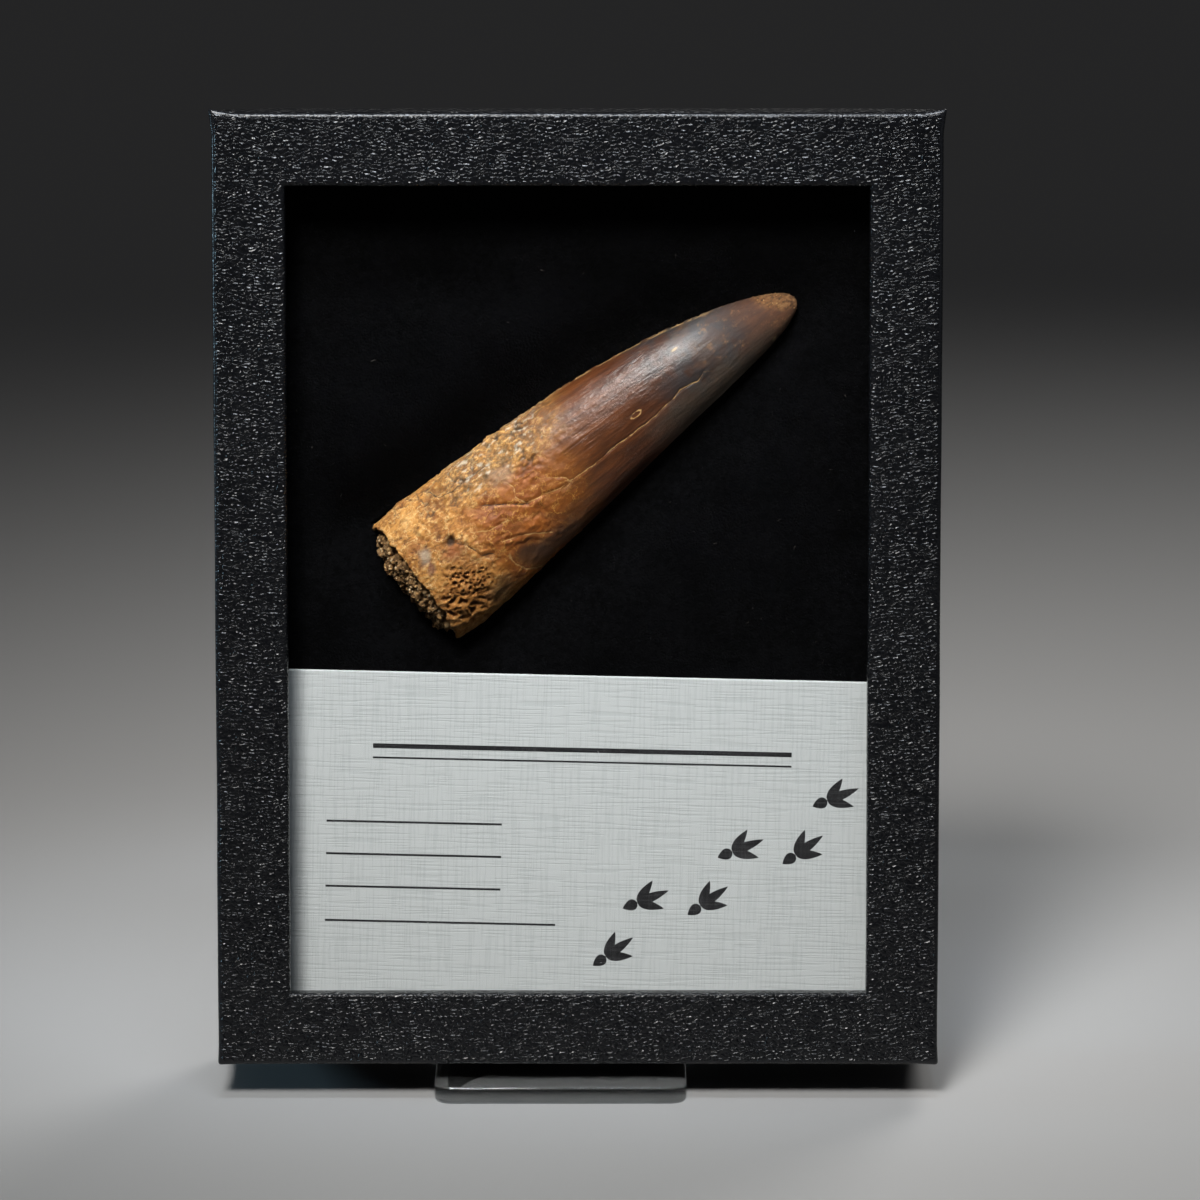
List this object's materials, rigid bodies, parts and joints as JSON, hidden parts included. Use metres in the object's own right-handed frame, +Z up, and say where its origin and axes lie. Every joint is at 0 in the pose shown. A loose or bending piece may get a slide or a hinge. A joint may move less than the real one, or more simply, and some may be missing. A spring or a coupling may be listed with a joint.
{
  "type": "spinosaurus tooth in a glazed display case",
  "caption": "Curved conical fossil tooth on a black felt pad behind glass, above a label card, in a leatherette-wrapped case that leans on a clear acrylic stand.",
  "frame": {"origin": "middle of the underside of the stand's foot, on the surface that it stands on", "axes": "+Z up, +X to the right seen from the glazed front, -Y out of the glazed front"},
  "size_m": [0.0825, 0.042, 0.1124],
  "materials": {
    "case_wrap": "black leatherette paper wrapped over board, crinkled grain, semi-gloss",
    "window_glass": "clear polished sheet glass",
    "tray_wrap": "black paper wrapped over board, matt",
    "pad_felt": "black short-nap felt over a soft pad",
    "linen_card": "pale grey linen-textured card with plain black printing",
    "fossil_tooth": "ochre cracked root, glossy brown enamel, sandy matrix",
    "clear_acrylic": "clear polished acrylic"
  },
  "bodies": {
    "root": {"lid_frame": "case_wrap", "window_pane": "window_glass", "tray": "tray_wrap", "backing_pad": "pad_felt", "label_card": "linen_card", "tooth": "fossil_tooth", "acrylic_stand": "clear_acrylic"}
  },
  "joints": []
}
